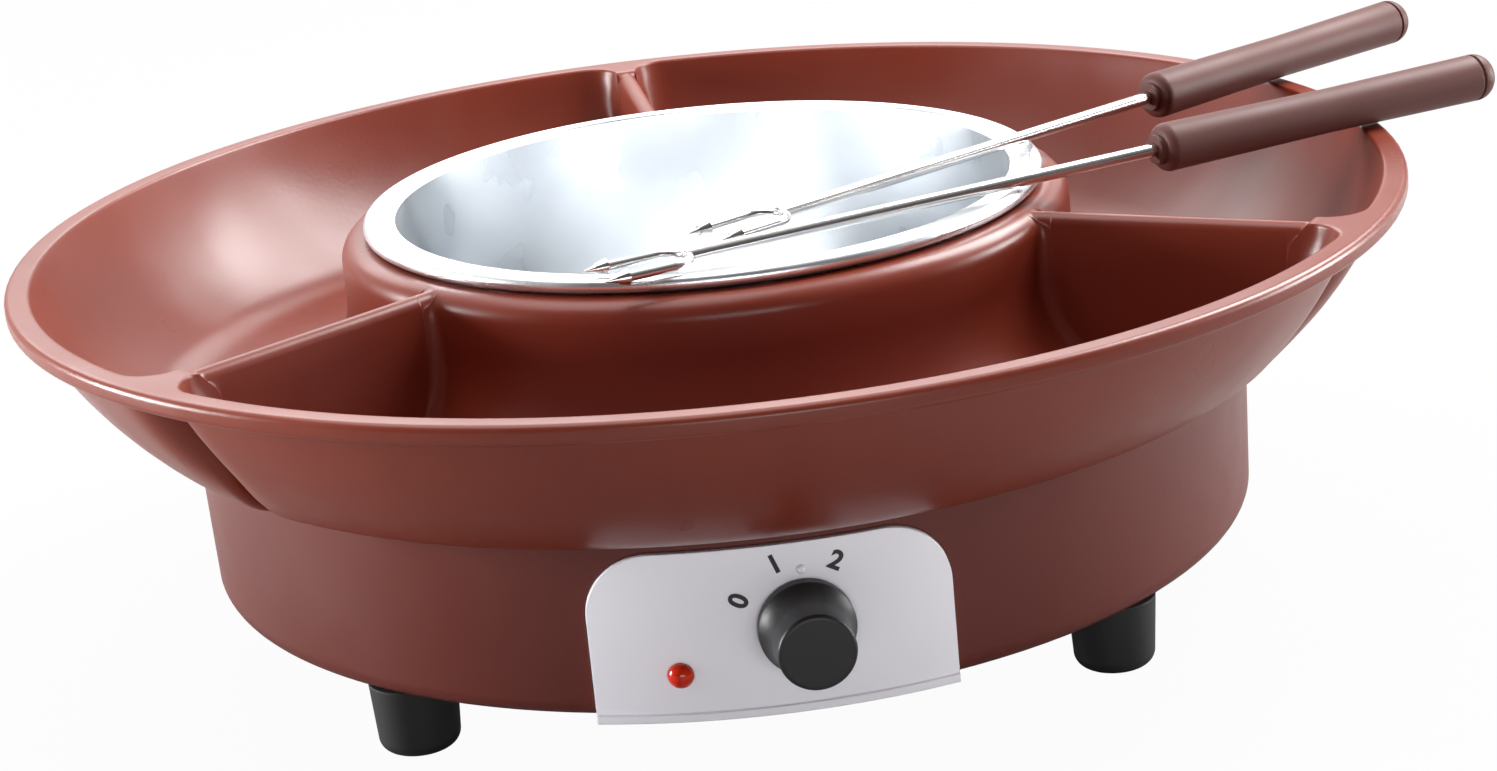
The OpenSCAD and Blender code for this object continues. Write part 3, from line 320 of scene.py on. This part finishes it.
def rim_rows():
    """The band, its rounded edge and its underside."""
    rows = [section_row((RIM_INNER + out, TRAY_H - down), True, rim_shift=shift)
            for out, down, shift in RIM_STEPS]
    upper_arc = (TRAY_R - RIM_EDGE_R, TRAY_H - RIM_EDGE_R)
    lower_arc = (TRAY_R - RIM_EDGE_R, TRAY_H - RIM_DROP + RIM_EDGE_R)
    edge = arc_points(upper_arc, RIM_EDGE_R, RIM_EDGE_TURN, 0, RIM_EDGE_STEPS)
    edge += arc_points(lower_arc, RIM_EDGE_R, 0, -RIM_EDGE_TURN, RIM_EDGE_STEPS)
    rows += [section_row(p, True, divided=False) for p in edge]
    rows += [section_row((RIM_INNER + out, TRAY_H - RIM_DROP - down), False, rim_shift=shift)
             for out, down, shift in UNDER_RIM_STEPS]
    return rows


def under_rows():
    """The dish's underside from the rim to the sweep."""
    side = arc_points(SIDE, SIDE_R + TRAY_WALL, UNDER_SIDE_HIGH, SIDE_LOW, SIDE_STEPS)
    side += arc_points(FILLET, FILLET_R + TRAY_WALL, SIDE_LOW, -90, FILLET_STEPS)[1:]
    rows = [section_row(p, False, rim_shift=step_up(p[1], *UNDER_RIM_CORNER_LEVELS)) for p in side]
    rows += [section_row((r, 0.0), False) for r in UNDER_FLOOR_RADII]
    sweep = arc_points(SWEEP, SWEEP_R + COLLAR_WALL, UNDER_SWEEP_START, 180, UNDER_SWEEP_STEPS)
    rows += [section_row(p, False) for p in sweep]
    return rows


def fold_rows():
    """The slot inside the folded collar, and the tube's two sides and foot."""
    mid_z, top_z = TUBE_LEVELS
    outline = (
        (COLLAR_IN, COLLAR_LEVELS[-1]), (COLLAR_IN, FOLD_TOP - FOLD_SOFT),
        (COLLAR_IN - FOLD_DIP, FOLD_TOP - FOLD_DIP), (COLLAR_IN - EDGE_SOFT, FOLD_TOP),
        (TUBE_OUT + EDGE_SOFT, FOLD_TOP), (TUBE_OUT + EDGE_DIP, FOLD_TOP - FOLD_DIP),
        (TUBE_OUT, FOLD_TOP - FOLD_SOFT), (TUBE_OUT, mid_z), (TUBE_OUT, EDGE_SOFT),
        (TUBE_OUT - EDGE_DIP, EDGE_DIP), (TUBE_OUT - EDGE_SOFT, 0.0),
        (TUBE_IN + EDGE_SOFT, 0.0), (TUBE_IN + EDGE_DIP, EDGE_DIP), (TUBE_IN, EDGE_SOFT),
        (TUBE_IN, mid_z), (TUBE_IN, top_z),
    )
    return [section_row(p, False, divided=False) for p in outline]


def divider_half_width(z, form):
    return FACE_HALF - form["wall"] + (CREST_ARC_Z - min(z, form["arc_z"])) * DRAFT


def half_divider(low_z, form):
    """Half of a divider's outline over one row: crest, face, fillet and the dish beyond it.

    It gives the points as (distance from the middle plane, height) and the face's foot.
    """
    rise = max(min(form["fillet"], RISE_SHARE * (form["arc_z"] + form["arc_h"] - low_z)), 0.0)
    fillet = max(rise, LEAST_FILLET)
    points = []
    for i in range(CREST_COLUMNS):
        a = math.radians(90 - CREST_TURN * i / CREST_COLUMNS)
        points.append((form["arc_w"] * math.cos(a), form["arc_z"] + form["arc_h"] * math.sin(a)))
    start_z = form["arc_z"] + form["arc_h"] * math.sin(math.radians(90 - CREST_TURN))
    end_z = min(low_z + rise, start_z)
    for i in range(FACE_COLUMNS):
        z = start_z + (end_z - start_z) * i / FACE_COLUMNS
        points.append((divider_half_width(z, form) + FACE_SPREAD * i, z))
    foot = divider_half_width(end_z, form) + FACE_SPREAD * FACE_COLUMNS
    for i in range(FILLET_COLUMNS + 1):
        a = math.radians(90 * i / FILLET_COLUMNS)
        aside = foot + fillet * (1 - math.cos(a)) + FILLET_SPREAD * i
        points.append((aside, low_z + rise * (1 - math.sin(a))))
    last = points[-1][0]
    points += [(last + e, low_z) for e in BEYOND]
    return points, foot


def half_section(row):
    """Half of a row near a divider, as (distance from its middle plane, radius, height)."""
    radius, low_z, upper, divided, rim_shift, collar_shift = row
    form = UPPER if upper else UNDER
    points, foot = half_divider(low_z, form)
    section = []
    for d, z in points:
        rim_part = rim_shift * corner_inset(d - foot, form["corner"])
        collar_part = collar_shift * corner_inset(d - foot, COLLAR_CORNER)
        section.append((d, radius - rim_part + collar_part, max(low_z, z) if divided else low_z))
    return section


def ring_points(row):
    """One row all the way round, as (angle in degrees, radius, height)."""
    half = half_section(row)
    points = []
    next_angles = (*DIVIDER_ANGLES[1:], DIVIDER_ANGLES[0] + 360.0)
    for start, end in zip(DIVIDER_ANGLES, next_angles):
        for d, r, z in half:
            points.append((start + math.degrees(math.asin(d / r)), r, z))
        first = points[-1][0]
        last = end - math.degrees(math.asin(half[-1][0] / half[-1][1]))
        for i in range(1, MIDDLE_COLUMNS):
            points.append((first + (last - first) * i / MIDDLE_COLUMNS, row[0], row[1]))
        for d, r, z in reversed(half[1:]):
            points.append((end - math.degrees(math.asin(d / r)), r, z))
    return points


def tray_skin():
    rows = collar_rows() + dish_rows() + rim_rows() + under_rows() + fold_rows()
    rings = [ring_points(row) for row in rows]
    verts, faces = [], []
    for ring in rings:
        for angle, r, z in ring:
            a = math.radians(angle + TRAY_TURN)
            verts.append((r * math.sin(a) * MM, -r * math.cos(a) * MM, (SEAT_Z + z) * MM))
    columns = len(rings[0])
    for j in range(len(rings)):
        below = ((j + 1) % len(rings)) * columns
        for i in range(columns):
            n = (i + 1) % columns
            faces.append((j * columns + i, below + i, below + n, j * columns + n))
    return verts, faces


tray = add_mesh("tray_moulding", *tray_skin(), SLOT_MATERIALS["tray_plastic"], "tray", "tray_plastic")
even = tray.modifiers.new("even_normals", "WEIGHTED_NORMAL")
even.mode = "FACE_AREA"
even.weight = NORMAL_WEIGHT
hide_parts("serving_tray")


# Numbers on the panel, standing round the knob

PANEL_R = 115.8 * MM
KNOB_ANGLE = math.radians(3.0)
KNOB_Z = 32.4 * MM
LABELS = (("0", -63.0), ("1", -21.0), ("2", 29.5))
LABEL_RADIUS = 13.6 * MM
LABEL_SIZE = 5.2 * MM
LABEL_WEIGHT = 0.035
INK_LIFT = 0.06 * MM


def panel_point(across, height, lift):
    """A point on the panel's curved face from its distance across and its height."""
    angle = across / PANEL_R
    radius = PANEL_R + lift
    return Vector((radius * math.sin(angle), -radius * math.cos(angle), height))


def label_mesh(text):
    curve = bpy.data.curves.new("label", "FONT")
    curve.body = text
    curve.size = LABEL_SIZE
    curve.align_x = "CENTER"
    curve.align_y = "CENTER"
    curve.offset = LABEL_WEIGHT * LABEL_SIZE
    holder = bpy.data.objects.new("label", curve)
    mesh = bpy.data.meshes.new_from_object(holder)
    bpy.data.objects.remove(holder)
    return mesh


def add_label(text, degrees):
    mesh = label_mesh(text)
    turn = math.radians(degrees)
    verts = []
    for v in mesh.vertices:
        x = v.co.x * math.cos(turn) + v.co.y * math.sin(turn) + LABEL_RADIUS * math.sin(turn)
        y = -v.co.x * math.sin(turn) + v.co.y * math.cos(turn) + LABEL_RADIUS * math.cos(turn)
        verts.append(panel_point(KNOB_ANGLE * PANEL_R + x, KNOB_Z + y, INK_LIFT))
    faces = [tuple(p.vertices) for p in mesh.polygons]
    add_mesh("dial_number_" + text, verts, faces, ink_mat, "base", "knob_plastic", smooth=False)


for label in LABELS:
    add_label(*label)


# Floor, which looks white to the camera and keeps a part of the object's shadow

FLOOR_SIZE = 12.0
FLOOR_Z = -0.0002
FLOOR_GLOW = 0.96
FLOOR_TONES = ((0.33, 0.33, 0.33), (0.37, 0.37, 0.37))
FLOOR_TONE_SCALE = 3.0
FLOOR_ROUGHNESS = 0.9
WHITE = (1.0, 1.0, 1.0, 1.0)


def floor_material():
    mat, tree, shader, coords = new_material("floor_white")
    tone = two_tone(tree, noise_node(tree, coords, FLOOR_TONE_SCALE), *FLOOR_TONES)
    tree.links.new(tone, shader.inputs["Base Color"])
    shader.inputs["Roughness"].default_value = FLOOR_ROUGHNESS
    shader.inputs["Specular IOR Level"].default_value = 0.0
    glow = tree.nodes.new("ShaderNodeEmission")
    glow.inputs["Color"].default_value = WHITE
    seen = tree.nodes.new("ShaderNodeLightPath")
    share = tree.nodes.new("ShaderNodeMath")
    share.operation = "MULTIPLY"
    share.inputs[1].default_value = FLOOR_GLOW
    mixed = tree.nodes.new("ShaderNodeMixShader")
    tree.links.new(seen.outputs["Is Camera Ray"], share.inputs[0])
    tree.links.new(share.outputs["Value"], mixed.inputs["Fac"])
    tree.links.new(shader.outputs["BSDF"], mixed.inputs[1])
    tree.links.new(glow.outputs["Emission"], mixed.inputs[2])
    tree.links.new(mixed.outputs["Shader"], tree.nodes["Material Output"].inputs["Surface"])
    return mat


def add_floor():
    half = FLOOR_SIZE / 2
    corners = [(-half, -half, FLOOR_Z), (half, -half, FLOOR_Z), (half, half, FLOOR_Z), (-half, half, FLOOR_Z)]
    mesh = bpy.data.meshes.new("floor")
    mesh.from_pydata(corners, [], [(0, 1, 2, 3)])
    mesh.materials.append(floor_material())
    obj = bpy.data.objects.new("floor", mesh)
    bpy.context.scene.collection.objects.link(obj)


add_floor()


# Room: white to the camera, and for the light dim in front of the object and bright behind it

ROOM_FRONT_Y, ROOM_BACK_Y = -0.5, 0.3
ROOM_FRONT_LIGHT, ROOM_BACK_LIGHT = 0.11, 0.9


def add_room():
    world = bpy.data.worlds.new("studio")
    bpy.context.scene.world = world
    world.use_nodes = True
    tree = world.node_tree
    room = tree.nodes["Background"]
    room.inputs["Color"].default_value = WHITE
    backdrop = tree.nodes.new("ShaderNodeBackground")
    backdrop.inputs["Color"].default_value = WHITE
    backdrop.inputs["Strength"].default_value = 1.0
    direction = tree.nodes.new("ShaderNodeTexCoord")
    split = tree.nodes.new("ShaderNodeSeparateXYZ")
    front_to_back = tree.nodes.new("ShaderNodeMapRange")
    front_to_back.inputs["From Min"].default_value = ROOM_FRONT_Y
    front_to_back.inputs["From Max"].default_value = ROOM_BACK_Y
    front_to_back.inputs["To Min"].default_value = ROOM_FRONT_LIGHT
    front_to_back.inputs["To Max"].default_value = ROOM_BACK_LIGHT
    tree.links.new(direction.outputs["Generated"], split.inputs["Vector"])
    tree.links.new(split.outputs["Y"], front_to_back.inputs["Value"])
    tree.links.new(front_to_back.outputs["Result"], room.inputs["Strength"])
    seen = tree.nodes.new("ShaderNodeLightPath")
    mixed = tree.nodes.new("ShaderNodeMixShader")
    tree.links.new(seen.outputs["Is Camera Ray"], mixed.inputs["Fac"])
    tree.links.new(room.outputs["Background"], mixed.inputs[1])
    tree.links.new(backdrop.outputs["Background"], mixed.inputs[2])
    tree.links.new(mixed.outputs["Shader"], tree.nodes["World Output"].inputs["Surface"])


add_room()


# Lamps, as name, place, target, size and power

LAMPS = (
    ("key", (0.60, 0.35, 0.75), (-0.06, 0.0, 0.06), (0.5, 0.5), 15.0),
    ("top", (-0.2, 0.1, 1.1), (-0.03, 0.03, 0.06), (0.9, 0.9), 8.0),
    ("left_edge", (-0.95, 0.10, 0.16), (0.0, 0.0, 0.04), (0.35, 0.4), 18.0),
    ("right_edge", (0.95, 0.10, 0.16), (0.0, 0.0, 0.04), (0.35, 0.4), 9.0),
    ("back", (-0.2, 1.0, 0.7), (0.0, 0.0, 0.08), (1.2, 0.5), 7.0),
    ("front", (0.1, -1.1, 0.15), (0.02, -0.1, 0.02), (0.6, 0.2), 2.9),
)


def add_lamp(name, place, target, size, power):
    data = bpy.data.lights.new(name, "AREA")
    data.shape = "RECTANGLE"
    data.size, data.size_y = size
    data.energy = power
    obj = bpy.data.objects.new(name, data)
    obj.location = place
    aim = Vector(target) - Vector(place)
    obj.rotation_euler = aim.to_track_quat("-Z", "Y").to_euler()
    bpy.context.scene.collection.objects.link(obj)


for lamp in LAMPS:
    add_lamp(*lamp)


# Camera, placed from the rim, the seam, the base and the feet as the photograph shows them

RIM_Z = 0.087
REACH = 0.15 * 4.6407
RISE, PAN, TILT, ROLL = 0.2538, -0.0083, -0.0600, 0.0985
FRAME_TURN = math.radians(-2.63)
FOCAL_PX, WIDTH_PX = 3200.0, 1497.0
SENSOR_WIDTH = 36.0
CLIP_START = 0.01


def turned(vectors, axis, angle):
    matrix = Matrix.Rotation(angle, 3, axis)
    return [matrix @ v for v in vectors]


def add_camera():
    eye = Vector((0.0, -REACH * math.cos(RISE), REACH * math.sin(RISE)))
    forward = -eye.normalized()
    right = forward.cross(Vector((0, 0, 1))).normalized()
    up = right.cross(forward)
    forward, up = turned((forward, up), right, TILT)
    forward, right = turned((forward, right), up, PAN)
    right, up = turned((right, up), forward, ROLL)
    eye, right, up, forward = turned((eye, right, up, forward), Vector((0, 0, 1)), FRAME_TURN)
    data = bpy.data.cameras.new("camera")
    data.sensor_width = SENSOR_WIDTH
    data.lens = FOCAL_PX * SENSOR_WIDTH / WIDTH_PX
    data.clip_start = CLIP_START
    camera = bpy.data.objects.new("camera", data)
    pose = Matrix((right, up, -forward)).transposed().to_4x4()
    pose.translation = eye + Vector((0, 0, RIM_Z))
    camera.matrix_world = pose
    bpy.context.scene.collection.objects.link(camera)
    bpy.context.scene.camera = camera


add_camera()
bpy.context.scene.view_settings.view_transform = "Standard"
